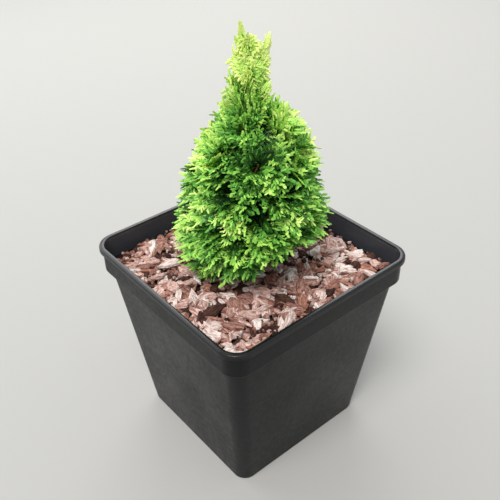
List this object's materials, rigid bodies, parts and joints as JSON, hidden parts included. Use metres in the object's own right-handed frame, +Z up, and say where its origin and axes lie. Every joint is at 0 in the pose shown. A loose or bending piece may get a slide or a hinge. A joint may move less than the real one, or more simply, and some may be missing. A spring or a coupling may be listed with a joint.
{
  "type": "potted thuja",
  "caption": "Young conical thuja with flat toothed sprays of bright green scale leaves, in a square black plastic nursery pot mulched with pine bark.",
  "frame": {"origin": "middle of the pot's flat underside", "axes": "+Z up along the trunk; the pot's sides face along X and Y, and the picture's camera stands towards +X and -Y"},
  "size_m": [0.18, 0.18, 0.3479],
  "materials": {
    "pot": "moulded black plastic with a soft sheen on the rim",
    "mulch": "dry pine bark flakes, pinkish tan, rust and pale grey, over dark soil",
    "wood": "thin reddish brown bark with fine flakes",
    "foliage": "bright green scale leaves, yellower at the tips and dark inside the crown"
  },
  "bodies": {
    "root": {"bark_mulch": "mulch", "bough_lower_1": "wood", "bough_lower_2": "wood", "bough_lower_3": "wood", "bough_lower_4": "wood", "bough_lower_5": "wood", "bough_lower_6": "wood", "bough_middle_1": "wood", "bough_middle_2": "wood", "bough_middle_3": "wood", "bough_middle_4": "wood", "bough_middle_5": "wood", "bough_shoulder_1": "wood", "bough_shoulder_2": "wood", "bough_shoulder_3": "wood", "bough_skirt_1": "wood", "bough_skirt_2": "wood", "bough_skirt_3": "wood", "bough_skirt_4": "wood", "bough_skirt_5": "wood", "bough_skirt_6": "wood", "bough_upper_1": "wood", "bough_upper_2": "wood", "bough_upper_3": "wood", "bough_upper_4": "wood", "bough_upper_5": "wood", "foliage_crest_1": "foliage", "foliage_crest_2": "foliage", "foliage_lower_1": "foliage", "foliage_lower_2": "foliage", "foliage_lower_3": "foliage", "foliage_lower_4": "foliage", "foliage_lower_5": "foliage", "foliage_lower_6": "foliage", "foliage_middle_1": "foliage", "foliage_middle_2": "foliage", "foliage_middle_3": "foliage", "foliage_middle_4": "foliage", "foliage_middle_5": "foliage", "foliage_shoulder_1": "foliage", "foliage_shoulder_2": "foliage", "foliage_shoulder_3": "foliage", "foliage_skirt_1": "foliage", "foliage_skirt_2": "foliage", "foliage_skirt_3": "foliage", "foliage_skirt_4": "foliage", "foliage_skirt_5": "foliage", "foliage_skirt_6": "foliage", "foliage_spire_1": "foliage", "foliage_spire_2": "foliage", "foliage_spire_3": "foliage", "foliage_tip_1": "foliage", "foliage_upper_1": "foliage", "foliage_upper_2": "foliage", "foliage_upper_3": "foliage", "foliage_upper_4": "foliage", "foliage_upper_5": "foliage", "pot": "pot", "trunk": "wood"}
  },
  "joints": []
}
